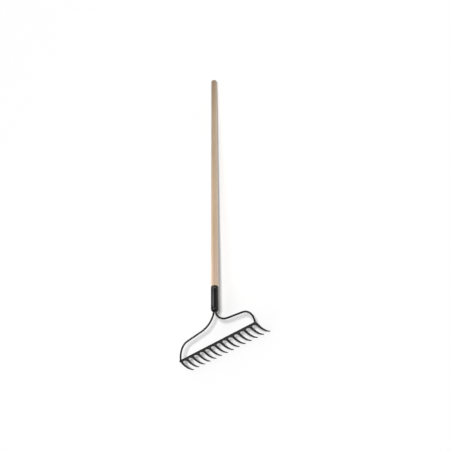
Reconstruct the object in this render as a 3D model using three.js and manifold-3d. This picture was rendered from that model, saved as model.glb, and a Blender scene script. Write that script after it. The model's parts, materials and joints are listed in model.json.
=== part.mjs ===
// A garden bow rake, in millimetres, +Z up.
// It lies as it is put down: the tine tips and the end of the grip touch the ground, Z = 0.
// The head is at -Y, the grip at +Y, and X runs along the bar.
import * as THREE from 'three';
import { mergeVertices } from 'three/addons/utils/BufferGeometryUtils.js';
import Module from 'manifold-3d';

// ---- Driving dimensions ----

const GAP = 0.3; // clearance between pieces that touch

// Head: a square bar with a row of curved tines welded under it
const TINE_COUNT = 14;
const TINE_PITCH = 27;
const BAR_SIDE = 6.35;
const BAR_CHAMFER = 0.7;

const TINE_DROP = 71.9; // from the bar's underside to the tips
const TINE_TIP_BACK = 2.9; // how far behind the bar's centre line the tips end
const TINE_BULGE = 8.3; // how far the tine's curve leaves its chord, away from the user
const TINE_ROOT_WIDTH = 7.8;
const TINE_TIP_WIDTH = 3.8;
const TINE_MIDDLE_THICKNESS = 4.6;
const TINE_TIP_THICKNESS = 3;
const TINE_SPLAY = 0.74; // how much further apart the tips are than the roots, for each tine
const POINT_LENGTH = 3; // the bevelled end of a tine
const POINT_WIDTH = 2.2;
const FOOT_RADIUS = 7.5; // the hollow flare that widens a tine's foot under the bar
const FOOT_EDGE = 1; // height of the foot's outer edge
const FOOT_SPACE = 2.4; // bare bar between two feet

// Bow: two round rods that leave the ferrule side by side and end on the back of the bar
const ROD_RADIUS = 3.5;
const ROD_SIDES = 12;
const ROD_STEPS = 48;
const TANG_LENGTH = 80; // the straight stretch inside the ferrule and the handle
const SHOULDER_TO_BAR = 139.4; // where the rods start to part, just inside the ferrule's nose
const AXIS_HEIGHT = 14.2; // the handle's axis over the bar's underside
const SHOULDER_RADIUS = 69.3;
const SHOULDER_TURN = THREE.MathUtils.degToRad(81.4);
const ARM_LENGTH = 67.85;
const ELBOW_RADIUS = 51.6;
const ELBOW_TURN = THREE.MathUtils.degToRad(73.5);
const BOW_RISE = 1.8; // the arms climb this much before they come down to the bar
const DROP_START = 0.7; // share of the bow's length where the rod starts to come down
const DROP_BEND = 0.1; // share of the length that the downward bend takes

// Ferrule: a steel tube with a closed-in nose
const NOSE_TO_BAR = 133.6;
const FERRULE_LENGTH = 108.8;
const FERRULE_RADIUS = 14.1;
const FERRULE_WALL = 1.5;
const NOSE_LENGTH = 9;
const NOSE_RADIUS = 9.5; // of the flat end face
const NOSE_WALL = 2;
const MOUTH_CLEARANCE = 0.6; // round the rods, which start to part inside the nose

// Nail through the ferrule into the wood
const NAIL_FROM_RIM = 11;
const NAIL_ANGLE = THREE.MathUtils.degToRad(45); // from straight up, towards +X
const NAIL_RADIUS = 1.3;
const NAIL_HEAD_RADIUS = 3.1;
const NAIL_HEAD_HEIGHT = 1.2;
const NAIL_REACH = 10; // from the ferrule's face to the nail's point
const NAIL_SIDES = 12;

// Handle: a straight round wooden shaft, turned down where the ferrule takes it
const HANDLE_RADIUS = 14.6;
const HANDLE_VISIBLE = 1293.5;
const HANDLE_DOME = 7; // length of the rounded end
const TENON_START = 11; // from the ferrule's nose to the end of the wood
const TENON_CHAMFER = 1.5;
const BORE_SPARE = 4; // bore beyond the ends of the tangs

const ROUND_SIDES = 32; // of the handle and the ferrule
const ARC_STEPS = 3; // half the number of straight edges in an outline's arc
const TINE_STEPS = 9; // straight edges along each side of a tine

// ---- Derived dimensions ----

const LAST_TINE_X = (TINE_PITCH * (TINE_COUNT - 1)) / 2;
const BAR_LENGTH = 2 * LAST_TINE_X + TINE_ROOT_WIDTH;
const ROD_SPACING = ROD_RADIUS + GAP / 2; // from the handle's axis to each rod's
const FERRULE_RIM_Y = NOSE_TO_BAR + FERRULE_LENGTH;
const HANDLE_END_Y = FERRULE_RIM_Y + HANDLE_VISIBLE;

// ---- Solids ----
// A closed mesh becomes a solid, is cut or joined, and becomes a mesh again.

const wasm = await Module();
wasm.setup();

function toSolid(geometry) {
  const bare = geometry.clone();
  bare.deleteAttribute('normal');
  bare.deleteAttribute('uv');
  const merged = mergeVertices(bare, 1e-4);
  const mesh = new wasm.Mesh({
    numProp: 3,
    vertProperties: merged.attributes.position.array,
    triVerts: new Uint32Array(merged.index.array),
  });
  return new wasm.Manifold(mesh);
}

function toGeometry(solid) {
  const { vertProperties, triVerts } = solid.getMesh();
  const geometry = new THREE.BufferGeometry();
  geometry.setAttribute('position', new THREE.BufferAttribute(vertProperties, 3));
  geometry.setIndex(new THREE.BufferAttribute(triVerts, 1));
  geometry.computeVertexNormals();
  return geometry;
}

function prism(shape, length) {
  const options = { depth: length, curveSegments: ARC_STEPS, bevelEnabled: false };
  return new THREE.ExtrudeGeometry(shape, options).translate(0, 0, -length / 2);
}

// An outline drawn in (Y, Z), carried along X and centred on X = 0.
function carryAlongX(shape, length) {
  return prism(shape, length).rotateX(Math.PI / 2).rotateZ(Math.PI / 2);
}

// An outline drawn in (X, Z), carried along Y and centred on Y = 0.
function carryAlongY(shape, length) {
  return prism(shape, length).rotateX(Math.PI / 2);
}

// A slot with round ends that both rods pass through, from one Y to another.
function rodSlot(fromY, toY, clearance) {
  const radius = ROD_RADIUS + clearance;
  const outline = new THREE.Shape();
  outline.absarc(ROD_SPACING, 0, radius, -Math.PI / 2, Math.PI / 2, false);
  outline.absarc(-ROD_SPACING, 0, radius, Math.PI / 2, (3 * Math.PI) / 2, false);
  const length = toY - fromY;
  return carryAlongY(outline, length).translate(0, (fromY + toY) / 2, 0);
}

// The hole that the nail goes through, from its point to past the ferrule's face.
function nailHole() {
  const length = NAIL_REACH + 2 * GAP + FERRULE_WALL;
  const hole = new THREE.CylinderGeometry(NAIL_RADIUS + GAP, NAIL_RADIUS + GAP, length, NAIL_SIDES);
  const middle = FERRULE_RADIUS - NAIL_REACH - 2 * GAP + length / 2;
  return hole
    .translate(0, middle, 0)
    .rotateX(Math.PI / 2)
    .rotateY(NAIL_ANGLE)
    .translate(0, FERRULE_RIM_Y - NAIL_FROM_RIM, 0);
}

// ---- Handle and ferrule, about the handle's axis ----

function handleGeometry() {
  const tenonRadius = FERRULE_RADIUS - FERRULE_WALL - GAP;
  const start = NOSE_TO_BAR + TENON_START;
  const shoulder = FERRULE_RIM_Y + GAP;
  const domeStart = HANDLE_END_Y - HANDLE_DOME;
  const profile = new THREE.Path();
  profile.moveTo(0, start);
  profile.lineTo(tenonRadius - TENON_CHAMFER, start);
  profile.lineTo(tenonRadius, start + TENON_CHAMFER);
  profile.lineTo(tenonRadius, shoulder);
  profile.lineTo(HANDLE_RADIUS, shoulder);
  profile.lineTo(HANDLE_RADIUS, domeStart);
  profile.absellipse(0, domeStart, HANDLE_RADIUS, HANDLE_DOME, 0, Math.PI / 2, false);
  const turned = new THREE.LatheGeometry(onAxis(profile.getPoints(ARC_STEPS)), ROUND_SIDES);
  const bore = rodSlot(start - 1, SHOULDER_TO_BAR + TANG_LENGTH + BORE_SPARE, GAP);
  return toGeometry(toSolid(turned).subtract(toSolid(bore)).subtract(toSolid(nailHole())));
}

function ferruleGeometry() {
  const inside = FERRULE_RADIUS - FERRULE_WALL;
  const bendStart = NOSE_TO_BAR + NOSE_LENGTH;
  const wallTop = NOSE_TO_BAR + NOSE_WALL;
  const round = FERRULE_RADIUS - NOSE_RADIUS;
  const profile = new THREE.Path();
  profile.moveTo(0, NOSE_TO_BAR);
  profile.lineTo(NOSE_RADIUS, NOSE_TO_BAR);
  profile.absellipse(NOSE_RADIUS, bendStart, round, NOSE_LENGTH, -Math.PI / 2, 0, false);
  profile.lineTo(FERRULE_RADIUS, FERRULE_RIM_Y);
  profile.lineTo(inside, FERRULE_RIM_Y);
  profile.lineTo(inside, bendStart);
  profile.absellipse(
    NOSE_RADIUS, bendStart, inside - NOSE_RADIUS, bendStart - wallTop, 0, -Math.PI / 2, true,
  );
  profile.lineTo(0, wallTop);
  const tube = new THREE.LatheGeometry(onAxis(profile.getPoints(ARC_STEPS)), ROUND_SIDES);
  const mouth = rodSlot(NOSE_TO_BAR - 1, wallTop + 1, MOUTH_CLEARANCE);
  return toGeometry(toSolid(tube).subtract(toSolid(mouth)).subtract(toSolid(nailHole())));
}

// Puts a profile's first and last points exactly on the axis, and drops repeated points.
function onAxis(points) {
  const kept = points.filter((point, i) => i === 0 || point.distanceTo(points[i - 1]) > 1e-6);
  kept[0].x = 0;
  kept.at(-1).x = 0;
  return kept;
}

// A nail standing on the Y axis with its point down and the ferrule's face at Y = 0.
function nailGeometry() {
  const profile = new THREE.Path();
  profile.moveTo(0, -NAIL_REACH);
  profile.lineTo(NAIL_RADIUS, -NAIL_REACH + 3 * NAIL_RADIUS);
  profile.lineTo(NAIL_RADIUS, GAP);
  profile.lineTo(NAIL_HEAD_RADIUS, GAP);
  profile.absellipse(0, GAP, NAIL_HEAD_RADIUS, NAIL_HEAD_HEIGHT, 0, Math.PI / 2, false);
  return new THREE.LatheGeometry(onAxis(profile.getPoints(ARC_STEPS)), NAIL_SIDES);
}

// ---- Bow ----

// The bow seen from above: tang, shoulder, arm, elbow, and a short leg to the bar.
function bowPlan() {
  const plan = new THREE.Path();
  plan.moveTo(ROD_SPACING, SHOULDER_TO_BAR + TANG_LENGTH);
  plan.lineTo(ROD_SPACING, SHOULDER_TO_BAR);
  plan.absarc(
    ROD_SPACING + SHOULDER_RADIUS, SHOULDER_TO_BAR, SHOULDER_RADIUS,
    Math.PI, Math.PI + SHOULDER_TURN, false,
  );
  const along = new THREE.Vector2(Math.sin(SHOULDER_TURN), -Math.cos(SHOULDER_TURN));
  const armEnd = plan.currentPoint.clone().addScaledVector(along, ARM_LENGTH);
  plan.lineTo(armEnd.x, armEnd.y);
  plan.absarc(
    armEnd.x + ELBOW_RADIUS * along.y, armEnd.y - ELBOW_RADIUS * along.x, ELBOW_RADIUS,
    SHOULDER_TURN, SHOULDER_TURN - ELBOW_TURN, true,
  );
  plan.lineTo(LAST_TINE_X, 0);
  return plan;
}

class BowCurve extends THREE.Curve {
  constructor(side) {
    super();
    this.side = side;
    this.plan = bowPlan();
    this.tangShare = TANG_LENGTH / this.plan.getLength();
  }

  // Height over the bar's underside, where s is the share of the bow outside the ferrule.
  height(s) {
    const climb = BOW_RISE * Math.min(s / DROP_START, 1);
    const past = Math.max(s - DROP_START, 0);
    const bent = Math.min(past, DROP_BEND);
    const drop = bent ** 2 / (2 * DROP_BEND) + (past - bent);
    const fullDrop = 1 - DROP_START - DROP_BEND / 2;
    const barMiddle = BAR_SIDE / 2;
    return AXIS_HEIGHT + climb - (drop / fullDrop) * (AXIS_HEIGHT + BOW_RISE - barMiddle);
  }

  getPoint(t, target = new THREE.Vector3()) {
    const { x, y } = this.plan.getPointAt(t);
    const outside = Math.max((t - this.tangShare) / (1 - this.tangShare), 0);
    return target.set(this.side * x, y, this.height(outside));
  }
}

function bowGeometry(side) {
  const section = new THREE.Shape();
  section.absarc(0, 0, ROD_RADIUS, 0, 2 * Math.PI, false);
  const rod = new THREE.ExtrudeGeometry(section, {
    curveSegments: ROD_SIDES / 2,
    steps: ROD_STEPS,
    extrudePath: new BowCurve(side),
    bevelEnabled: false,
  });
  // The leg is cut flat where it meets the back of the bar.
  const size = 10 * ROD_RADIUS;
  const beyond = new THREE.BoxGeometry(size, size, size)
    .translate(side * LAST_TINE_X, BAR_SIDE / 2 + GAP - size / 2, 0);
  return toGeometry(toSolid(rod).subtract(toSolid(beyond)));
}

// ---- Head ----

function barGeometry() {
  const half = BAR_SIDE / 2;
  const flat = half - BAR_CHAMFER;
  const corners = [
    [half, flat], [flat, half], [-flat, half], [-half, flat],
    [-half, -flat], [-flat, -half], [flat, -half], [half, -flat],
  ];
  const section = new THREE.Shape(corners.map(([y, z]) => new THREE.Vector2(y, z + half)));
  return carryAlongX(section, BAR_LENGTH);
}

// Points on the circle through three points, from the first to the last.
function arcThrough(a, b, c, steps) {
  const ab = b.clone().sub(a);
  const ac = c.clone().sub(a);
  const cross = 2 * ab.cross(ac);
  const centre = new THREE.Vector2(
    ac.y * ab.lengthSq() - ab.y * ac.lengthSq(),
    ab.x * ac.lengthSq() - ac.x * ab.lengthSq(),
  ).divideScalar(cross).add(a);
  const sweep = signedAngle(a.clone().sub(centre), c.clone().sub(centre));
  return Array.from({ length: steps + 1 }, (_, i) => (
    a.clone().rotateAround(centre, (sweep * i) / steps)
  ));
}

function signedAngle(from, to) {
  return Math.atan2(from.cross(to), from.dot(to));
}

// The tine from the side, in (Y, Z): two arcs that close in towards the tip.
function tineSide() {
  const top = -GAP;
  const rootHalf = BAR_SIDE / 2;
  const tipHalf = TINE_TIP_THICKNESS / 2;
  const middleHalf = TINE_MIDDLE_THICKNESS / 2;
  const middleY = TINE_TIP_BACK / 2 - TINE_BULGE;
  const edge = (sign) => arcThrough(
    new THREE.Vector2(sign * rootHalf, top),
    new THREE.Vector2(middleY + sign * middleHalf, -TINE_DROP / 2),
    new THREE.Vector2(TINE_TIP_BACK + sign * tipHalf, -TINE_DROP),
    TINE_STEPS,
  );
  return new THREE.Shape([...edge(-1), ...edge(1).reverse()]);
}

// One edge of the tine from the front, in (X, Z), for its +X side, from the foot to the point.
function tineEdge(flared) {
  const top = -GAP;
  const rootHalf = TINE_ROOT_WIDTH / 2;
  const footHalf = (TINE_PITCH - FOOT_SPACE) / 2;
  const edge = new THREE.Path();
  if (flared) {
    edge.moveTo(footHalf, top);
    edge.lineTo(footHalf, top - FOOT_EDGE);
    edge.absellipse(
      footHalf, top - FOOT_EDGE - FOOT_RADIUS, footHalf - rootHalf, FOOT_RADIUS,
      Math.PI / 2, Math.PI, false,
    );
  } else {
    edge.moveTo(rootHalf, top);
    edge.lineTo(rootHalf, top - FOOT_EDGE - FOOT_RADIUS);
  }
  edge.lineTo(TINE_TIP_WIDTH / 2, -TINE_DROP + POINT_LENGTH);
  edge.lineTo(POINT_WIDTH / 2, -TINE_DROP);
  return edge.getPoints(ARC_STEPS);
}

// A tine under the bar's middle. place counts tines from the middle of the row, towards +X.
function tineGeometry(place) {
  const outermost = (TINE_COUNT - 1) / 2;
  const right = tineEdge(place < outermost);
  const left = tineEdge(place > -outermost).map(({ x, y }) => new THREE.Vector2(-x, y)).reverse();
  const outline = [...right, ...left];
  for (const point of outline) point.x += (TINE_SPLAY * place * -point.y) / TINE_DROP;
  const front = carryAlongY(new THREE.Shape(outline), 4 * TINE_BULGE);
  const side = carryAlongX(tineSide(), 2 * TINE_PITCH);
  return toGeometry(toSolid(front).intersect(toSolid(side)));
}

// ---- Assembly ----

const blackPaint = () => new THREE.MeshStandardMaterial({
  color: 0x202221, roughness: 0.42, metalness: 0.1,
});
const ashWood = () => new THREE.MeshStandardMaterial({
  color: 0xcdb396, roughness: 0.55, metalness: 0,
});
const darkSteel = () => new THREE.MeshStandardMaterial({
  color: 0x3b3129, roughness: 0.5, metalness: 0.8,
});

// The rake's own frame: X along the bar, Y along the handle, Z = 0 at the bar's underside.
const rake = new THREE.Group();

function add(name, geometry, material, parent = rake) {
  const mesh = new THREE.Mesh(geometry, material);
  mesh.name = name;
  parent.add(mesh);
  return mesh;
}

const axis = new THREE.Group();
axis.position.z = AXIS_HEIGHT;
rake.add(axis);
add('handle_shaft', handleGeometry(), ashWood(), axis);
add('ferrule', ferruleGeometry(), blackPaint(), axis);

const nailPlace = new THREE.Group();
nailPlace.position.y = FERRULE_RIM_Y - NAIL_FROM_RIM;
nailPlace.rotation.y = NAIL_ANGLE;
axis.add(nailPlace);
const nail = add('ferrule_nail', nailGeometry(), darkSteel(), nailPlace);
nail.rotation.x = Math.PI / 2;
nail.position.z = FERRULE_RADIUS;

add('bow_left', bowGeometry(-1), blackPaint());
add('bow_right', bowGeometry(1), blackPaint());
add('head_bar', barGeometry(), blackPaint());
for (let i = 0; i < TINE_COUNT; i += 1) {
  const place = i - (TINE_COUNT - 1) / 2;
  const number = String(i + 1).padStart(2, '0');
  const tine = add(`tine_${number}`, tineGeometry(place), blackPaint());
  tine.position.x = place * TINE_PITCH;
}

// Laid down, the rake tips until the edge where the handle's dome starts meets the ground too.
const tipY = TINE_TIP_BACK + TINE_TIP_THICKNESS / 2;
const buttHeight = AXIS_HEIGHT - HANDLE_RADIUS + TINE_DROP;
rake.rotation.x = -Math.atan2(buttHeight, HANDLE_END_Y - HANDLE_DOME - tipY);

// The origin is under the middle of the whole rake, on the ground.
const bounds = new THREE.Box3().setFromObject(rake, true);
const middle = bounds.getCenter(new THREE.Vector3());
rake.position.set(-middle.x, -middle.y, -bounds.min.z);

const laidDown = new THREE.Group();
laidDown.add(rake);

export default laidDown;
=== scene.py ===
"""The looks of a garden bow rake: an ash handle, a black ferrule, a bow of two rods, a square bar and
14 curved tines. Sizes are in millimetres in the rake's own frame (X along the bar, Y along the handle,
Z = 0 at the bar's underside), and turn into metres in the row frame when a piece is made."""
import json
import math
from collections import namedtuple

import bpy
import numpy as np
from mathutils import Matrix, Vector, noise


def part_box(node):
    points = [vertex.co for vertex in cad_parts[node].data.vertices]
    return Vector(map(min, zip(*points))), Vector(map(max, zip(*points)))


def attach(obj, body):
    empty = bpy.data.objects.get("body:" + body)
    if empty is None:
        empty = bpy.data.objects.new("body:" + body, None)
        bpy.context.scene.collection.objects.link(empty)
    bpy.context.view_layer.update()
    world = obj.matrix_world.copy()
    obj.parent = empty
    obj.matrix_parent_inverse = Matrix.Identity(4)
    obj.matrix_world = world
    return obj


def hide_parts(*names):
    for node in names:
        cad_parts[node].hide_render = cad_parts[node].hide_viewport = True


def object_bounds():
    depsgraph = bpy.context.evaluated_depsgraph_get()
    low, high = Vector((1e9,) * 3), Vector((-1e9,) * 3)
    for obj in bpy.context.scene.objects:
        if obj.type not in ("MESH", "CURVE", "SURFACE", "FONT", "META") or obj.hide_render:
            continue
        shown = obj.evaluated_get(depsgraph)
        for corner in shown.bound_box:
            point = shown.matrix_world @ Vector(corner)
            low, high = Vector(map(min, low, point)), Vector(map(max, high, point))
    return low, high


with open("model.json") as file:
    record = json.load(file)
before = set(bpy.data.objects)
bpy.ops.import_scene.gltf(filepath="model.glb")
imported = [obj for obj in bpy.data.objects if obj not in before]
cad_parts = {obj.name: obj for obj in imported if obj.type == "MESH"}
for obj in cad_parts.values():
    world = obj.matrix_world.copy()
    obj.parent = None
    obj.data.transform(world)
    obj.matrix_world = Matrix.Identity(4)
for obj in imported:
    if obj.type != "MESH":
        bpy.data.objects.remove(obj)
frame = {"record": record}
cad_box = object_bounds()

MM = 0.001
BODY = "root"

# ---- Head: a square bar with a row of curved tines welded under it ----

TINE_COUNT = 14
TINE_PITCH = 27.0
BAR_SIDE = 6.35
BAR_ROUND = 0.95
BAR_END_ROUND = 0.7

TINE_DROP = 71.9  # from the bar's underside to the tips
TINE_TIP_BACK = 2.9  # how far behind the bar's centre line the tips end
TINE_BULGE = 8.3  # how far the tine's curve leaves its chord
TINE_ROOT_WIDTH = 7.8
TINE_TIP_WIDTH = 3.8
TINE_MIDDLE_THICKNESS = 4.6
TINE_TIP_THICKNESS = 3.0
TINE_SPLAY = 0.74  # how much further apart the tips are than the roots, for each tine
TINE_ROUND = 1.25  # of the tine's long edges
ROUND_SHARE = 0.4  # the most that an edge's round may take of the tine's narrower side
POINT_LENGTH = 3.0  # the bevelled end of a tine
POINT_WIDTH = 2.2
POINT_ROUND = 0.5
FOOT_RADIUS = 7.5  # the hollow flare that widens a tine's foot under the bar
FOOT_EDGE = 1.3  # height of the foot's outer edge
FOOT_SPACE = 2.4  # bare bar between two feet
TINE_INTO_BAR = 0.8
END_INSET = 0.4  # of the tine's first and last outlines, which rounds its ends
SIDE_INSET = 0.06  # keeps the blade just inside the CAD piece
WORN_SHARE = 0.07  # of the tine's length, at its tip
TIP_WEAR = 0.38

# ---- Bow: two round rods that leave the ferrule side by side and end on the back of the bar ----

ROD_RADIUS = 3.5
ROD_SPACING = 3.65  # from the handle's axis to each rod's
ROD_INTO_BAR = 0.6
TANG_LENGTH = 80.0
SHOULDER_TO_BAR = 139.4
AXIS_HEIGHT = 14.2  # the handle's axis over the bar's underside
SHOULDER_RADIUS = 69.3
SHOULDER_TURN = math.radians(81.4)
ARM_LENGTH = 67.85
ELBOW_RADIUS = 51.6
ELBOW_TURN = math.radians(73.5)
BOW_RISE = 1.8  # the arms climb this much before they come down to the bar
DROP_START = 0.7  # share of the bow's length where the rod starts to come down
DROP_BEND = 0.1  # share of the length that the downward bend takes

# ---- Ferrule, nail and handle ----

NOSE_TO_BAR = 133.6
FERRULE_LENGTH = 108.8
FERRULE_RADIUS = 14.1
FERRULE_WALL = 1.5
NOSE_LENGTH = 9.0
NOSE_RADIUS = 9.5  # of the flat end face
NOSE_WALL = 2.0
MOUTH_CLEARANCE = 0.5
RIM_ROUND = 0.45

NAIL_FROM_RIM = 11.0
NAIL_ANGLE = math.radians(45)
NAIL_RADIUS = 1.3
NAIL_HEAD_RADIUS = 3.1
NAIL_HEAD_HEIGHT = 1.2
NAIL_HEAD_ROUND = 0.3  # of the head's lower edge
NAIL_REACH = 10.0  # from the ferrule's face to the nail's point
NAIL_POINT = 4.0  # length of the tapered end
NAIL_TIP_RADIUS = 0.35

HANDLE_RADIUS = 14.6
HANDLE_VISIBLE = 1293.5
HANDLE_DOME = 7.0  # length of the rounded end
SHOULDER_ROUND = 1.1
TENON_START = 11.0  # from the ferrule's nose to the end of the wood
TENON_GAP = 0.3
TENON_CHAMFER = 1.5
BORE_SPARE = 4.0  # bore beyond the ends of the tangs
CUT_SPARE = 3.0  # how far a cutting shape stands out of what it cuts

# ---- Welds ----

WELD_RADIUS = 0.85
WELD_HEIGHT = -0.15  # of a tine weld's centre line
WELD_INTO_BAR = 0.35
WELD_END_SPACE = 0.6  # from a foot's edge to the end of its weld
WELD_ROOT_SPACE = 0.3  # the same on the outermost tines' straight sides
WELD_STEP = 0.4
ROD_WELD_RADIUS = 1.0
ROD_WELD_REACH = 0.15  # of its centre line beyond the rod's face
ROD_WELD_BACK = 0.25  # of its centre line behind the bar
ROD_WELD_HALF_HEIGHT = 3.2  # a rod is a little thicker than the bar
RIPPLE_LENGTH = 1.5
RIPPLE_SHARE = 0.09
DRIFT_SHARE = 0.18
DRIFT_PER_MM = 0.35
SEED_STEP = 7.3
ROD_WELD_SEED = 50
WELD_TAPER = 1.2  # length over which a bead swells from its end
WELD_END_SHARE = 0.05

# ---- Derived sizes ----

LAST_TINE_X = TINE_PITCH * (TINE_COUNT - 1) / 2
BAR_LENGTH = 2 * LAST_TINE_X + TINE_ROOT_WIDTH
FERRULE_RIM_Y = NOSE_TO_BAR + FERRULE_LENGTH
HANDLE_END_Y = FERRULE_RIM_Y + HANDLE_VISIBLE

# ---- Fineness of the meshes ----

ROUND_SIDES = 96  # of the handle and the ferrule
NAIL_SIDES = 40
ROD_SIDES = 28
BEAD_SIDES = 10
CORNER_POINTS = 6  # in each round corner of the bar's and the tines' sections
SMALL_ARC = 6  # steps in a rounded edge
LARGE_ARC = 18  # steps in a dome, the ferrule's nose or a foot's flare
SLOT_ARC = 20
BEND_ARC = 60  # steps in a bend of the bow and along a tine
TANG_STEPS = 40
BOW_STEPS = 220
SHAFT_RINGS = 40
TUBE_RINGS = 12
BAR_RINGS = 90
BLADE_RINGS = 24
ROD_WELD_STEPS = 72
RING_SPACE = 2.0  # from a rounded edge to the nearest ring of a straight stretch
SMOOTH_ANGLE = math.radians(38)
NEARLY_PARALLEL = 0.1  # length of the cross product of two unit vectors

# ---- The rake's own frame in the row ----


def rake_frame():
    """The matrix from the rake's own frame to the row frame, in metres, from the mount on the bar."""
    mount = next(m for m in frame["record"]["mounts"] if m["name"] == "bar_top")
    up = Vector(mount["axis"]).normalized()
    right = Vector((1, 0, 0))
    along = up.cross(right)
    origin = Vector(mount["pos_m"]) - up * BAR_SIDE * MM
    turn = Matrix((right, along, up)).transposed()
    return Matrix.Translation(origin) @ turn.to_4x4()


RAKE = rake_frame()


# ---- Meshes ----


def add_piece(name, points, faces, material, slot, node=None, wear=None):
    """A piece from points in the rake's frame. Its attribute "place" keeps them, in metres, for materials."""
    points = np.asarray(points, float) * MM
    mesh = bpy.data.meshes.new(name)
    mesh.from_pydata(points.tolist(), [], faces)
    place = mesh.attributes.new("place", "FLOAT_VECTOR", "POINT")
    place.data.foreach_set("vector", points.astype(np.float32).ravel())
    if wear is not None:
        layer = mesh.attributes.new("wear", "FLOAT", "POINT")
        layer.data.foreach_set("value", np.asarray(wear, np.float32))
    mesh.transform(RAKE)
    mesh.validate()
    mesh.shade_smooth()
    mesh.set_sharp_from_angle(angle=SMOOTH_ANGLE)
    mesh.materials.append(material)
    piece = bpy.data.objects.new(name, mesh)
    bpy.context.scene.collection.objects.link(piece)
    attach(piece, BODY)
    if node:
        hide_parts(node)
    return piece


def full_turn(steps):
    """Angles round a circle, in radians, without the last one, which is the first again."""
    return np.arange(steps) * 2 * math.pi / steps


def loft_faces(rings, sides, capped=True):
    """Quads between rings of the same number of points, and a face over each end."""
    faces = []
    for i in range(rings - 1):
        for j in range(sides):
            a = i * sides + j
            b = i * sides + (j + 1) % sides
            faces.append((a, b, b + sides, a + sides))
    if capped:
        last = (rings - 1) * sides
        faces.append(tuple(range(sides))[::-1])
        faces.append(tuple(range(last, last + sides)))
    return faces


def lathe(profile, sides=ROUND_SIDES):
    """Turns a profile of (radius, height) about the Z axis. Its two ends are on the axis."""
    angles = full_turn(sides)
    points = [(0, 0, profile[0][1])]
    for radius, height in profile[1:-1]:
        ring = np.stack([radius * np.cos(angles), radius * np.sin(angles), np.full(sides, height)], 1)
        points.extend(ring.tolist())
    points.append((0, 0, profile[-1][1]))
    rings = len(profile) - 2
    faces = [tuple(1 + k for k in face) for face in loft_faces(rings, sides, False)]
    last = 1 + (rings - 1) * sides
    tip = len(points) - 1
    for j in range(sides):
        k = (j + 1) % sides
        faces.append((0, 1 + k, 1 + j))
        faces.append((tip, last + j, last + k))
    return np.array(points), faces


def arc(centre, radii, start, end, steps):
    """Points on an ellipse's arc, angles in degrees."""
    turn = np.radians(np.linspace(start, end, steps + 1))
    return [(centre[0] + radii[0] * math.cos(a), centre[1] + radii[1] * math.sin(a)) for a in turn]


def straight(radius, start, end, rings):
    """A profile's straight stretch between two rounded edges."""
    return [(radius, y) for y in np.linspace(start + RING_SPACE, end - RING_SPACE, rings)]


def lengths_along(path):
    """How far along a path each of its points is."""
    return np.concatenate([[0], np.cumsum(np.linalg.norm(np.diff(path, axis=0), axis=1))])


def sweep(path, radii, sides, closed=False):
    """A round tube along a path, with a radius at each point."""
    path = np.asarray(path, float)
    if closed:
        ahead = np.roll(path, -1, 0) - np.roll(path, 1, 0)
    else:
        ahead = np.gradient(path, axis=0)
    ahead /= np.linalg.norm(ahead, axis=1)[:, None]
    side = np.cross(ahead[0], (0.0, 0.0, 1.0))
    if np.linalg.norm(side) < NEARLY_PARALLEL:
        side = np.cross(ahead[0], (0.0, 1.0, 0.0))
    angles = full_turn(sides)
    points = []
    for centre, forward, radius in zip(path, ahead, radii):
        side = side - forward * side.dot(forward)
        side /= np.linalg.norm(side)
        other = np.cross(forward, side)
        ring = centre + radius * (np.cos(angles)[:, None] * side + np.sin(angles)[:, None] * other)
        points.extend(ring.tolist())
    count = len(path)
    faces = loft_faces(count, sides, not closed)
    if closed:
        last = (count - 1) * sides
        for j in range(sides):
            k = (j + 1) % sides
            faces.append((last + j, last + k, k, j))
    return np.array(points), faces


def join(parts):
    """Several closed meshes as one list of points and faces."""
    points = []
    faces = []
    for some_points, some_faces in parts:
        start = len(points)
        points.extend(np.asarray(some_points).tolist())
        faces.extend(tuple(start + k for k in face) for face in some_faces)
    return points, faces


def rounded_section(low, high, radius):
    """A rectangle with round corners, counter-clockwise, from its low corner (x, y) to its high one."""
    corners = [(high, 0), ((low[0], high[1]), 90), (low, 180), ((high[0], low[1]), 270)]
    points = []
    for (x, y), start in corners:
        inner_x = x - radius if x == high[0] else x + radius
        inner_y = y - radius if y == high[1] else y + radius
        points.extend(arc((inner_x, inner_y), (radius, radius), start, start + 90, CORNER_POINTS - 1))
    return points


# ---- Materials: their coordinates are metres in the rake's frame ----
# A scale of 1000 makes noise with features about 1 mm across. A relief is a bump's height in metres.

NOISE_SPAN = (0.3, 0.7)  # nearly all of a noise's values lie between these

HEART = (0.031, -0.012)  # the middle of the trunk that the shaft was sawn from, as X and Z
HEART_LEAN = 0.0105  # how much the grain runs out of the shaft, sideways per length
SWAY = 0.011
SWAY_SCALE = (9.0, 1.6, 9.0)
RINGS_PER_METRE = 430.0
RING_UNEVENNESS = 1.6
UNEVEN_SCALE = (110.0, 3.0, 110.0)
PORE_SCALE = (2400.0, 75.0, 2400.0)
FIBRE_SCALE = (1500.0, 22.0, 1500.0)
STREAK_SCALE = (420.0, 5.0, 420.0)
CLOUD_SCALE = (24.0, 3.5, 24.0)
FIBRE_SHARE = 0.32
STREAK_SHARE = 0.35
CLOUD_SHARE = 0.22
PORE_SHARE = 0.55
PORE_ROUGHNESS = 0.2  # what a pore adds to the wood's
PORE_DEPTH = 1.4  # against the height of a fibre
GRAIN_RELIEF = 0.00012

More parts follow.
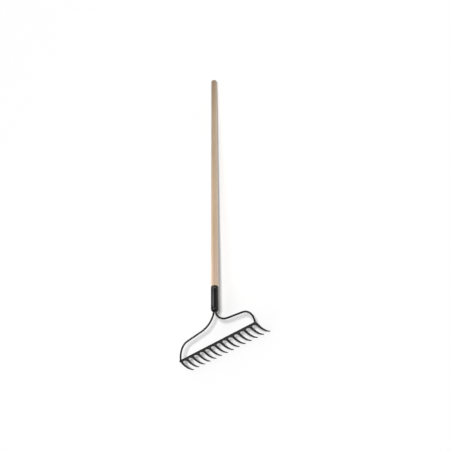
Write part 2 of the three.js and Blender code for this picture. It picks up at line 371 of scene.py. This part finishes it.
PORE_COLOUR = (0.145, 0.083, 0.050, 1.0)
FIBRE_COLOUR = (0.332, 0.224, 0.151, 1.0)
STREAK_COLOUR = (0.573, 0.460, 0.364, 1.0)
CLOUD_COLOUR = (0.390, 0.269, 0.184, 1.0)
RING_COLOURS = (
    (0.0, (0.332, 0.218, 0.142)),
    (0.16, (0.432, 0.306, 0.212)),
    (0.55, (0.515, 0.384, 0.286)),
    (0.93, (0.465, 0.334, 0.236)),
    (1.0, (0.357, 0.238, 0.158)),
)
TONE_LENGTH = 1.6  # metres from the bar, of which the positions below are shares
# Painted shade: colour factors that darken the wood towards the grip, standing in for light that falls off
# along the handle.
HANDLE_PAINTED_SHADE = (
    (0.22, (1.0, 1.0, 1.0)),
    (0.32, (0.90, 0.90, 0.82)),
    (0.46, (0.90, 0.90, 0.82)),
    (0.62, (0.80, 0.81, 0.73)),
    (0.78, (0.775, 0.785, 0.705)),
    (0.93, (0.575, 0.54, 0.455)),
    (0.96, (0.52, 0.49, 0.42)),
)

SKIN_SCALE = 650.0
SWELL_SCALE = 110.0
PATCH_SCALE = 35.0
DUST_SCALE = 2600.0
DUST_SHARE = 0.35
SCRATCH_SCALE = (900.0, 900.0, 160.0)
BARE_METAL = 0.85
BARE_POLISH = 0.08  # what bare steel takes off the paint's roughness
SKIN_RELIEF = 0.00008
SWELL_RELIEF = 0.0004
PAINT_DARK = (0.0026, 0.0028, 0.0027, 1.0)
PAINT_LIGHT = (0.0050, 0.0053, 0.0052, 1.0)
DUST_COLOUR = (0.10, 0.098, 0.092, 1.0)
STEEL_DARK = (0.10, 0.098, 0.092, 1.0)
STEEL_LIGHT = (0.18, 0.175, 0.165, 1.0)
STAIN_SCALE = 700.0
MARK_SCALE = 1300.0
MARK_RELIEF = 0.0001
NAIL_COLOURS = (
    (0.3, (0.050, 0.040, 0.033)),
    (0.55, (0.085, 0.062, 0.047)),
    (0.75, (0.120, 0.060, 0.030)),
)


class Nodes:
    """Short ways to add nodes to a node tree. A value is a number, a colour or another node's socket."""

    def __init__(self, tree):
        self.tree = tree

    def node(self, kind, inputs=None, **settings):
        made = self.tree.nodes.new("ShaderNode" + kind)
        for key, value in settings.items():
            setattr(made, key, value)
        for key, value in (inputs or {}).items():
            self.feed(made.inputs[key], value)
        return made

    def feed(self, socket, value):
        if isinstance(value, bpy.types.NodeSocket):
            self.tree.links.new(value, socket)
        else:
            socket.default_value = value

    def calculate(self, operation, a, b=0.0, clamp=False):
        return self.node("Math", {0: a, 1: b}, operation=operation, use_clamp=clamp).outputs[0]

    def spread(self, value, low, high, to_low=0.0, to_high=1.0, smooth=False):
        """Takes the range from low to high onto another range, and stops at its ends."""
        inputs = {"Value": value, "From Min": low, "From Max": high, "To Min": to_low, "To Max": to_high}
        kind = "SMOOTHSTEP" if smooth else "LINEAR"
        return self.node("MapRange", inputs, interpolation_type=kind).outputs[0]


class Shader(Nodes):
    """A node material that starts as one Principled shader and the piece's own coordinates."""

    def __init__(self, name, **plain):
        self.material = bpy.data.materials.new(name)
        self.material.use_nodes = True
        super().__init__(self.material.node_tree)
        self.principled = self.tree.nodes["Principled BSDF"]
        for key, value in plain.items():
            self.principled.inputs[key.replace("_", " ")].default_value = value
        self.place = self.node("Attribute", attribute_name="place").outputs["Vector"]

    def drive(self, name, value):
        self.feed(self.principled.inputs[name], value)

    def stretch(self, scale, vector=None):
        inputs = {0: vector or self.place, 1: scale}
        return self.node("VectorMath", inputs, operation="MULTIPLY").outputs[0]

    def noise(self, scale, detail=2.0, roughness=0.5):
        inputs = {"Vector": self.stretch(scale), "Scale": 1.0, "Detail": detail, "Roughness": roughness}
        return self.node("TexNoise", inputs)

    def grain(self, scale, detail=2.0, roughness=0.5):
        """Noise as one number, with a scale along each axis."""
        return self.noise(scale, detail, roughness).outputs["Fac"]

    def even_grain(self, scale, detail=2.0):
        """Noise as one number, with the same scale along every axis."""
        return self.grain((scale, scale, scale), detail)

    def mix(self, factor, a, b, blend="MIX"):
        """Mixes two colours. The node's sockets for them are 6 and 7, and its output 2 is a colour."""
        made = self.node("Mix", data_type="RGBA", blend_type=blend)
        self.feed(made.inputs[0], factor)
        self.feed(made.inputs[6], a)
        self.feed(made.inputs[7], b)
        return made.outputs[2]

    def ramp(self, value, stops):
        made = self.node("ValToRGB", {0: value})
        elements = made.color_ramp.elements
        while len(elements) < len(stops):
            elements.new(0.5)
        for element, (position, colour) in zip(elements, stops):
            element.position = position
            element.color = (*colour, 1.0)
        return made.outputs[0]

    def bump(self, height, strength, distance, under=None):
        inputs = {"Height": height, "Strength": strength, "Distance": distance}
        if under:
            inputs["Normal"] = under
        return self.node("Bump", inputs).outputs[0]


def growth_ring(shader):
    """Where a point is between one winter and the next, 0 to 1, in rings about the leaning heart."""
    sway = shader.noise(SWAY_SCALE).outputs["Color"]
    centred = shader.node("VectorMath", {0: sway, 1: (0.5, 0.5, 0.5)}, operation="SUBTRACT").outputs[0]
    shift = shader.stretch((SWAY, 0.0, SWAY), centred)
    swayed = shader.node("VectorMath", {0: shift, 1: shader.place}).outputs[0]
    x, y, z = shader.node("SeparateXYZ", {0: swayed}).outputs
    lean = shader.calculate("MULTIPLY", y, HEART_LEAN)
    across = shader.calculate("ADD", shader.calculate("SUBTRACT", x, HEART[0]), lean)
    upwards = shader.calculate("SUBTRACT", z, HEART[1])
    flat = shader.node("CombineXYZ", {0: across, 1: upwards}).outputs[0]
    distance = shader.node("VectorMath", {0: flat}, operation="LENGTH").outputs["Value"]
    even = shader.calculate("MULTIPLY", distance, RINGS_PER_METRE)
    uneven = shader.calculate("MULTIPLY", shader.grain(UNEVEN_SCALE, 1.0), RING_UNEVENNESS)
    return shader.calculate("FRACT", shader.calculate("ADD", even, uneven))


def open_pores(shader, ring):
    """Dark dashes in the early part of each ring, 0 to 1."""
    dashes = shader.spread(shader.grain(PORE_SCALE, 1.0), 0.56, 0.66)
    return shader.calculate("MULTIPLY", dashes, shader.spread(ring, 0.42, 0.06), True)


def wood_material():
    """Ash under a thin satin lacquer: growth rings, fibres and open pores, with painted shade that darkens it
    towards the grip.
    """
    shader = Shader("ash_wood_grain", Specular_IOR_Level=0.5, Coat_Weight=0.25, Coat_Roughness=0.3,
                    Sheen_Weight=0.3, Sheen_Roughness=0.45)
    ring = growth_ring(shader)
    pores = open_pores(shader, ring)
    fibres = shader.grain(FIBRE_SCALE, 3.0)
    streaks = shader.grain(STREAK_SCALE)
    clouds = shader.grain(CLOUD_SCALE)
    tan = shader.ramp(ring, RING_COLOURS)
    tan = shader.mix(shader.spread(fibres, 0.35, 0.7, 0.0, FIBRE_SHARE), tan, FIBRE_COLOUR)
    tan = shader.mix(shader.spread(streaks, 0.35, 0.72, 0.0, STREAK_SHARE), tan, STREAK_COLOUR)
    tan = shader.mix(shader.spread(clouds, *NOISE_SPAN, 0.0, CLOUD_SHARE), tan, CLOUD_COLOUR)
    tan = shader.mix(shader.calculate("MULTIPLY", pores, PORE_SHARE), tan, PORE_COLOUR)
    # painted shade: the wood's colour is multiplied darker towards the grip, in place of light falling off
    # along the handle
    along = shader.node("SeparateXYZ", {0: shader.place}).outputs[1]
    painted_shade = shader.ramp(shader.spread(along, 0.0, TONE_LENGTH), HANDLE_PAINTED_SHADE)
    shader.drive("Base Color", shader.mix(1.0, tan, painted_shade, "MULTIPLY"))
    rough = shader.spread(fibres, *NOISE_SPAN, 0.46, 0.6)
    rougher = shader.calculate("MULTIPLY", pores, PORE_ROUGHNESS)
    shader.drive("Roughness", shader.calculate("ADD", rough, rougher))
    height = shader.calculate("SUBTRACT", fibres, shader.calculate("MULTIPLY", pores, PORE_DEPTH))
    shader.drive("Normal", shader.bump(height, 0.35, GRAIN_RELIEF))
    return shader.material


def paint_material(name, worn):
    """Black baked enamel with a fine skin, dust, and steel showing where the attribute "wear" is high."""
    shader = Shader(name, Specular_IOR_Level=0.2, Coat_Weight=0.0)
    skin = shader.even_grain(SKIN_SCALE)
    swell = shader.even_grain(SWELL_SCALE)
    patches = shader.even_grain(PATCH_SCALE, 3.0)
    dust = shader.even_grain(DUST_SCALE, 0.0)
    black = shader.mix(shader.spread(patches, *NOISE_SPAN), PAINT_DARK, PAINT_LIGHT)
    black = shader.mix(shader.spread(dust, 0.74, 0.80, 0.0, DUST_SHARE), black, DUST_COLOUR)
    rough = shader.spread(swell, *NOISE_SPAN, 0.28, 0.37)
    if worn:
        wear = shader.node("Attribute", attribute_name="wear").outputs["Fac"]
        scratch = shader.grain(SCRATCH_SCALE, 3.0, 0.6)
        shown = shader.calculate("ADD", wear, shader.spread(scratch, *NOISE_SPAN, -0.5, 0.5))
        bare = shader.spread(shown, 0.55, 0.8)
        steel = shader.mix(shader.spread(swell, 0.35, 0.65), STEEL_DARK, STEEL_LIGHT)
        black = shader.mix(bare, black, steel)
        rough = shader.calculate("SUBTRACT", rough, shader.calculate("MULTIPLY", bare, BARE_POLISH))
        shader.drive("Metallic", shader.calculate("MULTIPLY", bare, BARE_METAL))
    shader.drive("Base Color", black)
    shader.drive("Roughness", rough)
    under = shader.bump(swell, 0.25, SWELL_RELIEF)
    shader.drive("Normal", shader.bump(skin, 0.22, SKIN_RELIEF, under))
    return shader.material


def nail_material():
    """Dark oiled steel with faint rust and hammer marks."""
    shader = Shader("dark_steel_nail", Specular_IOR_Level=0.5)
    stain = shader.even_grain(STAIN_SCALE, 3.0)
    marks = shader.even_grain(MARK_SCALE, 1.0)
    shader.drive("Base Color", shader.ramp(stain, NAIL_COLOURS))
    shader.drive("Metallic", shader.spread(stain, 0.5, 0.8, 0.75, 0.25))
    shader.drive("Roughness", shader.spread(marks, *NOISE_SPAN, 0.4, 0.62))
    shader.drive("Normal", shader.bump(marks, 0.4, MARK_RELIEF))
    return shader.material


# ---- Handle, ferrule and nail, about the handle's axis ----


def on_axis(points):
    """Points turned about Z become points about the handle's axis: height becomes Y."""
    x, y, z = np.asarray(points).T
    return np.stack([x, z, AXIS_HEIGHT - y], 1)


def cut(piece, cutting):
    """Takes the cutting shape out of a piece and removes it."""
    modifier = piece.modifiers.new("cut", "BOOLEAN")
    modifier.operation = "DIFFERENCE"
    modifier.solver = "EXACT"
    modifier.object = cutting
    bpy.context.view_layer.update()
    graph = bpy.context.evaluated_depsgraph_get()
    whole = piece.evaluated_get(graph)
    mesh = bpy.data.meshes.new_from_object(whole, preserve_all_data_layers=True, depsgraph=graph)
    piece.modifiers.clear()
    piece.data = mesh
    bpy.data.objects.remove(cutting)
    points = np.empty(len(mesh.vertices) * 3, np.float32)
    mesh.vertices.foreach_get("co", points)
    back = np.array(RAKE.inverted())
    points = points.reshape(-1, 3) @ back[:3, :3].T + back[:3, 3]
    mesh.attributes["place"].data.foreach_set("vector", points.astype(np.float32).ravel())
    mesh.shade_smooth()
    mesh.set_sharp_from_angle(angle=SMOOTH_ANGLE)


def rod_slot(start, end, clearance):
    """A bare shape to cut with: a slot with round ends along the handle's axis, for both rods."""
    radius = ROD_RADIUS + clearance
    right = arc((ROD_SPACING, AXIS_HEIGHT), (radius, radius), -90, 90, SLOT_ARC)
    left = arc((-ROD_SPACING, AXIS_HEIGHT), (radius, radius), 90, 270, SLOT_ARC)
    outline = (right + left)[::-1]
    points = [(x * MM, y * MM, z * MM) for y in (start, end) for x, z in outline]
    mesh = bpy.data.meshes.new("slot")
    mesh.from_pydata(points, [], loft_faces(2, len(outline)))
    mesh.transform(RAKE)
    slot = bpy.data.objects.new("slot", mesh)
    bpy.context.scene.collection.objects.link(slot)
    return slot


def make_handle(material):
    tenon = FERRULE_RADIUS - FERRULE_WALL - TENON_GAP
    start = NOSE_TO_BAR + TENON_START
    shoulder = FERRULE_RIM_Y + TENON_GAP
    dome = HANDLE_END_Y - HANDLE_DOME
    edge = (HANDLE_RADIUS - SHOULDER_ROUND, shoulder + SHOULDER_ROUND)
    profile = [(0, start), (tenon - TENON_CHAMFER, start), (tenon, start + TENON_CHAMFER), (tenon, shoulder)]
    profile += arc(edge, (SHOULDER_ROUND, SHOULDER_ROUND), -90, 0, SMALL_ARC)
    profile += straight(HANDLE_RADIUS, shoulder, dome, SHAFT_RINGS)
    profile += arc((0, dome), (HANDLE_RADIUS, HANDLE_DOME), 0, 90, LARGE_ARC)
    points, faces = lathe(profile)
    handle = add_piece("handle_wood", on_axis(points), faces, material, "ash_wood", "handle_shaft")
    cut(handle, rod_slot(start - CUT_SPARE, SHOULDER_TO_BAR + TANG_LENGTH + BORE_SPARE, TENON_GAP))
    return handle


def make_ferrule(material):
    inside = FERRULE_RADIUS - FERRULE_WALL
    bend = NOSE_TO_BAR + NOSE_LENGTH
    wall = NOSE_TO_BAR + NOSE_WALL
    rim = FERRULE_RIM_Y - RIM_ROUND
    round_rim = (RIM_ROUND, RIM_ROUND)
    profile = [(0, NOSE_TO_BAR)]
    profile += arc((NOSE_RADIUS, bend), (FERRULE_RADIUS - NOSE_RADIUS, NOSE_LENGTH), -90, 0, LARGE_ARC)
    profile += straight(FERRULE_RADIUS, bend, FERRULE_RIM_Y, TUBE_RINGS)
    profile += arc((FERRULE_RADIUS - RIM_ROUND, rim), round_rim, 0, 90, SMALL_ARC)
    profile += arc((inside + RIM_ROUND, rim), round_rim, 90, 180, SMALL_ARC)
    profile += arc((NOSE_RADIUS, bend), (inside - NOSE_RADIUS, bend - wall), 0, -90, SMALL_ARC)
    profile += [(0, wall)]
    points, faces = lathe(profile)
    ferrule = add_piece("ferrule_tube", on_axis(points), faces, material, "black_paint", "ferrule")
    cut(ferrule, rod_slot(NOSE_TO_BAR - CUT_SPARE, wall + CUT_SPARE, MOUTH_CLEARANCE))
    return ferrule


def make_nail(material):
    edge = NAIL_HEAD_RADIUS - NAIL_HEAD_ROUND
    profile = [(0, -NAIL_REACH), (NAIL_TIP_RADIUS, -NAIL_REACH + NAIL_TIP_RADIUS)]
    profile += [(NAIL_RADIUS, -NAIL_REACH + NAIL_POINT), (NAIL_RADIUS, -NAIL_HEAD_ROUND)]
    profile += [(edge, -NAIL_HEAD_ROUND)]
    profile += arc((0, 0), (NAIL_HEAD_RADIUS, NAIL_HEAD_HEIGHT), 0, 90, LARGE_ARC)
    points, faces = lathe(profile, NAIL_SIDES)
    out = Vector((math.sin(NAIL_ANGLE), 0, math.cos(NAIL_ANGLE)))
    turn = np.array(Matrix.Rotation(NAIL_ANGLE, 3, "Y"))
    seat = Vector((0, FERRULE_RIM_Y - NAIL_FROM_RIM, AXIS_HEIGHT)) + out * FERRULE_RADIUS
    points = points @ turn.T + np.array(seat)
    return add_piece("ferrule_nail_round", points, faces, material, "dark_steel", "ferrule_nail")


# ---- Bow ----


def bow_plan():
    """The bow's right half seen from above: tang, shoulder, arm, elbow and the leg to the bar."""
    shoulder = (ROD_SPACING + SHOULDER_RADIUS, SHOULDER_TO_BAR)
    turned = math.degrees(SHOULDER_TURN)
    tang_end = SHOULDER_TO_BAR + TANG_LENGTH
    path = [(ROD_SPACING, y) for y in np.linspace(tang_end, SHOULDER_TO_BAR, TANG_STEPS)]
    path += arc(shoulder, (SHOULDER_RADIUS, SHOULDER_RADIUS), 180, 180 + turned, BEND_ARC)[1:]
    along = (math.sin(SHOULDER_TURN), -math.cos(SHOULDER_TURN))
    arm_end = (path[-1][0] + along[0] * ARM_LENGTH, path[-1][1] + along[1] * ARM_LENGTH)
    elbow = (arm_end[0] + ELBOW_RADIUS * along[1], arm_end[1] - ELBOW_RADIUS * along[0])
    path += arc(elbow, (ELBOW_RADIUS, ELBOW_RADIUS), turned, turned - math.degrees(ELBOW_TURN), BEND_ARC)
    path.append((LAST_TINE_X, 0.0))
    return np.array(path)


def bow_height(share):
    """Height over the bar's underside, where share is the part of the bow outside the ferrule passed."""
    climb = BOW_RISE * np.minimum(share / DROP_START, 1)
    past = np.maximum(share - DROP_START, 0)
    bent = np.minimum(past, DROP_BEND)
    drop = bent ** 2 / (2 * DROP_BEND) + (past - bent)
    full = 1 - DROP_START - DROP_BEND / 2
    return AXIS_HEIGHT + climb - drop / full * (AXIS_HEIGHT + BOW_RISE - BAR_SIDE / 2)


def bow_path():
    plan = bow_plan()
    travelled = lengths_along(plan)
    even = np.linspace(0, travelled[-1], BOW_STEPS)
    x = np.interp(even, travelled, plan[:, 0])
    y = np.interp(even, travelled, plan[:, 1])
    share = np.clip((even - TANG_LENGTH) / (travelled[-1] - TANG_LENGTH), 0, None)
    path = np.stack([x, y, bow_height(share)], 1)
    return path[path[:, 1] > BAR_SIDE / 2 - ROD_INTO_BAR]


def make_bow(name, side, material):
    path = bow_path() * (side, 1, 1)
    points, faces = sweep(path, [ROD_RADIUS] * len(path), ROD_SIDES)
    return add_piece(name + "_rod", points, faces, material, "black_paint", name)


# ---- Head ----


def make_bar(material):
    half = BAR_SIDE / 2
    turns = np.radians(np.linspace(0, 90, SMALL_ARC))
    ends = BAR_LENGTH / 2 - BAR_END_ROUND * (1 - np.sin(turns))
    insets = BAR_END_ROUND * (1 - np.cos(turns))
    middle = np.linspace(-ends[0] + RING_SPACE, ends[0] - RING_SPACE, BAR_RINGS)
    points = []
    for x in (*-ends[::-1], *middle, *ends):
        reach = half - np.interp(abs(x), ends, insets)
        section = rounded_section((-reach, half - reach), (reach, half + reach), BAR_ROUND)
        points.extend((x, y, z) for y, z in section)
    faces = loft_faces(BAR_RINGS + 2 * len(ends), 4 * CORNER_POINTS)
    return add_piece("head_bar_square", points, faces, material, "black_paint", "head_bar")


def arc_through(a, b, c, steps):
    """Points on the circle through three points, from the first to the last."""
    a, b, c = (np.array(p, float) for p in (a, b, c))
    ab, ac = b - a, c - a
    cross = 2 * (ab[0] * ac[1] - ab[1] * ac[0])
    up = np.array([ac[1] * ab.dot(ab) - ab[1] * ac.dot(ac), ab[0] * ac.dot(ac) - ac[0] * ab.dot(ab)]) / cross
    centre = a + up
    start = math.atan2(*(a - centre)[::-1])
    turned = math.atan2(*(c - centre)[::-1]) - start
    turned = (turned + math.pi) % (2 * math.pi) - math.pi
    angles = start + np.linspace(0, 1, steps + 1) * turned
    return centre + np.linalg.norm(up) * np.stack([np.cos(angles), np.sin(angles)], 1)


def tine_faces_at(heights):
    """The tine's front and back faces, as Y at each height."""
    middle = TINE_TIP_BACK / 2 - TINE_BULGE
    edges = []
    for sign in (-1, 1):
        edge = arc_through(
            (sign * BAR_SIDE / 2, 0),
            (middle + sign * TINE_MIDDLE_THICKNESS / 2, -TINE_DROP / 2),
            (TINE_TIP_BACK + sign * TINE_TIP_THICKNESS / 2, -TINE_DROP),
            BEND_ARC,
        )
        edges.append(np.interp(heights, edge[::-1, 1], edge[::-1, 0]))
    return edges


def tine_edge(flared):
    """One edge of the tine from the front, for its +X side, as (X, height) from the foot to the point."""
    root = TINE_ROOT_WIDTH / 2
    tip = TINE_TIP_WIDTH / 2
    foot = (TINE_PITCH - FOOT_SPACE) / 2
    waist = -FOOT_EDGE - FOOT_RADIUS
    point = -TINE_DROP + POINT_LENGTH
    edge = [(foot, TINE_INTO_BAR)]
    edge += arc((foot, waist), (foot - root, FOOT_RADIUS), 90, 180, LARGE_ARC)
    if not flared:
        edge = [(root, height) for _, height in edge]
    heights = np.linspace(waist, point, BLADE_RINGS)[1:]
    edge += list(zip(np.interp(heights, (point, waist), (tip, root)), heights))
    edge += [(POINT_WIDTH / 2 + POINT_ROUND / 2, -TINE_DROP + POINT_ROUND), (POINT_WIDTH / 2, -TINE_DROP)]
    return np.array(edge)


def make_tine(number, material):
    place = number - (TINE_COUNT + 1) / 2
    outermost = (TINE_COUNT - 1) / 2
    right, heights = tine_edge(place < outermost).T
    left = tine_edge(place > -outermost)[:, 0]
    front, back = tine_faces_at(heights)
    passed = np.maximum(-heights, 0) / TINE_DROP
    middle = place * (TINE_PITCH + TINE_SPLAY * passed)
    wear = TIP_WEAR * np.maximum(passed - 1 + WORN_SHARE, 0) / WORN_SHARE
    inset = np.full(len(heights), SIDE_INSET)
    inset[[0, -1]] = END_INSET
    points = []
    for i, height in enumerate(heights):
        low = (middle[i] - left[i] + inset[i], front[i] + inset[i])
        high = (middle[i] + right[i] - inset[i], back[i] - inset[i])
        narrow = min(high[0] - low[0], high[1] - low[1])
        section = rounded_section(low, high, min(TINE_ROUND, narrow * ROUND_SHARE))
        points.extend((x, y, height) for x, y in section)
    sides = 4 * CORNER_POINTS
    faces = [face[::-1] for face in loft_faces(len(heights), sides)]
    node = f"tine_{number:02d}"
    wear = np.repeat(wear, sides)
    return add_piece(node + "_blade", points, faces, material, "black_paint_worn", node, wear)


# ---- Welds ----


def bead(path, radius, seed, closed=False):
    """A weld bead: a tube with the ripples of the pool along it."""
    path = np.asarray(path, float)
    travelled = lengths_along(path)
    ripple = RIPPLE_SHARE * np.cos(travelled * 2 * math.pi / RIPPLE_LENGTH)
    drift = [noise.noise((seed * SEED_STEP, along * DRIFT_PER_MM, 0.0)) for along in travelled]
    radii = radius * (1 + ripple + DRIFT_SHARE * np.array(drift))
    if not closed:
        from_end = np.minimum(travelled, travelled[-1] - travelled)
        radii = radii * np.sqrt(np.clip(from_end / WELD_TAPER, WELD_END_SHARE, 1))
    return sweep(path, radii, BEAD_SIDES, closed)


def tine_weld(index, side):
    """The bead before (side -1) or behind (side 1) a tine's foot. Tines are counted from 0 here."""
    wide = (TINE_PITCH - FOOT_SPACE) / 2 - WELD_END_SPACE
    narrow = TINE_ROOT_WIDTH / 2 - WELD_ROOT_SPACE
    x = index * TINE_PITCH - LAST_TINE_X
    low = x - (wide if index > 0 else narrow)
    high = x + (wide if index < TINE_COUNT - 1 else narrow)
    y = side * (BAR_SIDE / 2 - WELD_INTO_BAR)
    path = [(at, y, WELD_HEIGHT) for at in np.linspace(low, high, int((high - low) / WELD_STEP))]
    return bead(path, WELD_RADIUS, 2 * index + side)


def rod_weld(side):
    """The ring of weld round the end of one of the bow's rods."""
    turn = full_turn(ROD_WELD_STEPS)
    reach = ROD_RADIUS + ROD_WELD_REACH
    path = np.stack([
        side * LAST_TINE_X + reach * np.cos(turn),
        np.full(ROD_WELD_STEPS, BAR_SIDE / 2 + ROD_WELD_BACK),
        BAR_SIDE / 2 + ROD_WELD_HALF_HEIGHT * np.sin(turn),
    ], 1)
    return bead(path, ROD_WELD_RADIUS, ROD_WELD_SEED + side, True)


def make_welds(material):
    tine_beads = [tine_weld(index, side) for index in range(TINE_COUNT) for side in (-1, 1)]
    rod_beads = [rod_weld(side) for side in (-1, 1)]
    return (
        add_piece("tine_welds", *join(tine_beads), material, "black_paint"),
        add_piece("bow_welds", *join(rod_beads), material, "black_paint"),
    )


# ---- Stage, in metres in the row frame ----

CAMERA_PLACE = (1.466, -2.2222, 1.8099)
CAMERA_AZIMUTH = math.radians(35.34)
CAMERA_ELEVATION = math.radians(35.64)
CAMERA_ROLL = math.radians(-53.80)
CAMERA_LENS = 60.59
SENSOR_WIDTH = 36.0
CAMERA_REACH = 200.0

SUN_OFF_LEFT = math.radians(5.5)  # from the camera's own direction
SUN_OFF_UP = math.radians(12.5)
SUN_STRENGTH = 3.27
SUN_ANGLE = math.radians(10.0)
SKY_BASE = 0.16
SKY_HORIZON = 1.0
HORIZON_FADE = (0.05, 0.25)  # heights of a direction between which the horizon turns into the dim dome
OVERHEAD = (0.05, -0.15, 1.0)
OVERHEAD_STRENGTH = 0.62
OVERHEAD_CORE = math.radians(12)
OVERHEAD_EDGE = math.radians(45)

Card = namedtuple("Card", "towards distance length width power")
WOOD_CARD = Card((-0.857, 0.0, 0.514), 0.9, 0.3, 0.3, 12.5)
FERRULE_CARD = Card((-0.071, 0.587, 0.806), 0.748, 0.31, 0.14, 2.7)
BOW_CARD = Card((-0.24, -0.80, 0.55), 3.0, 0.9, 0.9, 110.0)

FLOOR_WIDTH = 60.0
FLOOR_COLOUR = (0.9, 0.9, 0.9, 1.0)
FLOOR_ROUGHNESS = 0.9
FLOOR_SPECULAR = 0.1
FLOOR_GAP = 0.0002


def camera_axes():
    """The camera's right, up and back directions."""
    a, e, r = CAMERA_AZIMUTH, CAMERA_ELEVATION, CAMERA_ROLL
    back = Vector((math.sin(a) * math.cos(e), -math.cos(a) * math.cos(e), math.sin(e)))
    level = Vector((math.cos(a), math.sin(a), 0))
    upright = back.cross(level)
    right = level * math.cos(r) + upright * math.sin(r)
    return right, back.cross(right), back


def make_camera():
    data = bpy.data.cameras.new("camera")
    data.lens = CAMERA_LENS
    data.sensor_width = SENSOR_WIDTH
    data.clip_end = CAMERA_REACH
    camera = bpy.data.objects.new("camera", data)
    turn = Matrix(camera_axes()).transposed().to_4x4()
    camera.matrix_world = Matrix.Translation(CAMERA_PLACE) @ turn
    bpy.context.scene.collection.objects.link(camera)
    bpy.context.scene.camera = camera


def make_sun():
    right, up, back = camera_axes()
    towards = back - right * math.tan(SUN_OFF_LEFT) + up * math.tan(SUN_OFF_UP)
    data = bpy.data.lights.new("key_sun", "SUN")
    data.energy = SUN_STRENGTH
    data.angle = SUN_ANGLE
    sun = bpy.data.objects.new("key_sun", data)
    sun.rotation_mode = "QUATERNION"
    sun.rotation_quaternion = towards.to_track_quat("Z", "Y")
    bpy.context.scene.collection.objects.link(sun)


def make_card(name, node, card, pieces):
    """A bright card, its length across the handle, that faces a node and lights the given pieces alone."""
    data = bpy.data.lights.new(name, "AREA")
    data.shape = "RECTANGLE"
    data.size = card.length
    data.size_y = card.width
    data.energy = card.power
    light = bpy.data.objects.new(name, data)
    low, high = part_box(node)
    back = Vector(card.towards).normalized()
    side = Vector((0, 1, 0)).cross(back).normalized()
    turn = Matrix((side, back.cross(side), back)).transposed().to_4x4()
    light.matrix_world = Matrix.Translation((low + high) / 2 + back * card.distance) @ turn
    light.visible_camera = False
    lit = bpy.data.collections.new(name + "_lit")
    for piece in pieces:
        lit.objects.link(piece)
    light.light_linking.receiver_collection = lit
    bpy.context.scene.collection.objects.link(light)


def make_sky():
    """A studio dome: dim, white round the horizon, with a large soft light overhead."""
    world = bpy.data.worlds.new("studio")
    world.use_nodes = True
    bpy.context.scene.world = world
    sky = Nodes(world.node_tree)
    direction = sky.node("TexCoord").outputs["Generated"]
    height = sky.node("SeparateXYZ", {0: direction}).outputs[2]
    dome = sky.spread(height, *HORIZON_FADE, SKY_HORIZON, SKY_BASE, True)
    inputs = {0: direction, 1: Vector(OVERHEAD).normalized()}
    facing = sky.node("VectorMath", inputs, operation="DOT_PRODUCT").outputs["Value"]
    edge, core = math.cos(OVERHEAD_EDGE), math.cos(OVERHEAD_CORE)
    overhead = sky.spread(facing, edge, core, 0.0, OVERHEAD_STRENGTH, True)
    background = world.node_tree.nodes["Background"].inputs
    background["Color"].default_value = (1.0, 1.0, 1.0, 1.0)
    sky.feed(background["Strength"], sky.calculate("ADD", dome, overhead))


def make_floor():
    half = FLOOR_WIDTH / 2
    corners = [(-half, -half, 0), (half, -half, 0), (half, half, 0), (-half, half, 0)]
    mesh = bpy.data.meshes.new("floor")
    mesh.from_pydata(corners, [], [(0, 1, 2, 3)])
    material = bpy.data.materials.new("floor_white")
    material.use_nodes = True
    shader = material.node_tree.nodes["Principled BSDF"]
    shader.inputs["Base Color"].default_value = FLOOR_COLOUR
    shader.inputs["Roughness"].default_value = FLOOR_ROUGHNESS
    shader.inputs["Specular IOR Level"].default_value = FLOOR_SPECULAR
    mesh.materials.append(material)
    floor = bpy.data.objects.new("floor", mesh)
    floor.location.z = cad_box[0].z - FLOOR_GAP
    bpy.context.scene.collection.objects.link(floor)


def main():
    make_camera()
    make_sun()
    make_sky()
    make_floor()
    bpy.context.scene.view_settings.view_transform = "Standard"
    paint = paint_material("black_enamel", False)
    worn = paint_material("black_enamel_worn", True)
    handle = make_handle(wood_material())
    metal = [
        make_ferrule(paint),
        make_nail(nail_material()),
        make_bow("bow_left", -1, paint),
        make_bow("bow_right", 1, paint),
        make_bar(paint),
        *(make_tine(number, worn) for number in range(1, TINE_COUNT + 1)),
        *make_welds(paint),
    ]
    make_card("wood_card", "ferrule", WOOD_CARD, [handle])
    make_card("ferrule_card", "ferrule", FERRULE_CARD, metal)
    make_card("bow_card", "bow_left", BOW_CARD, metal)


main()
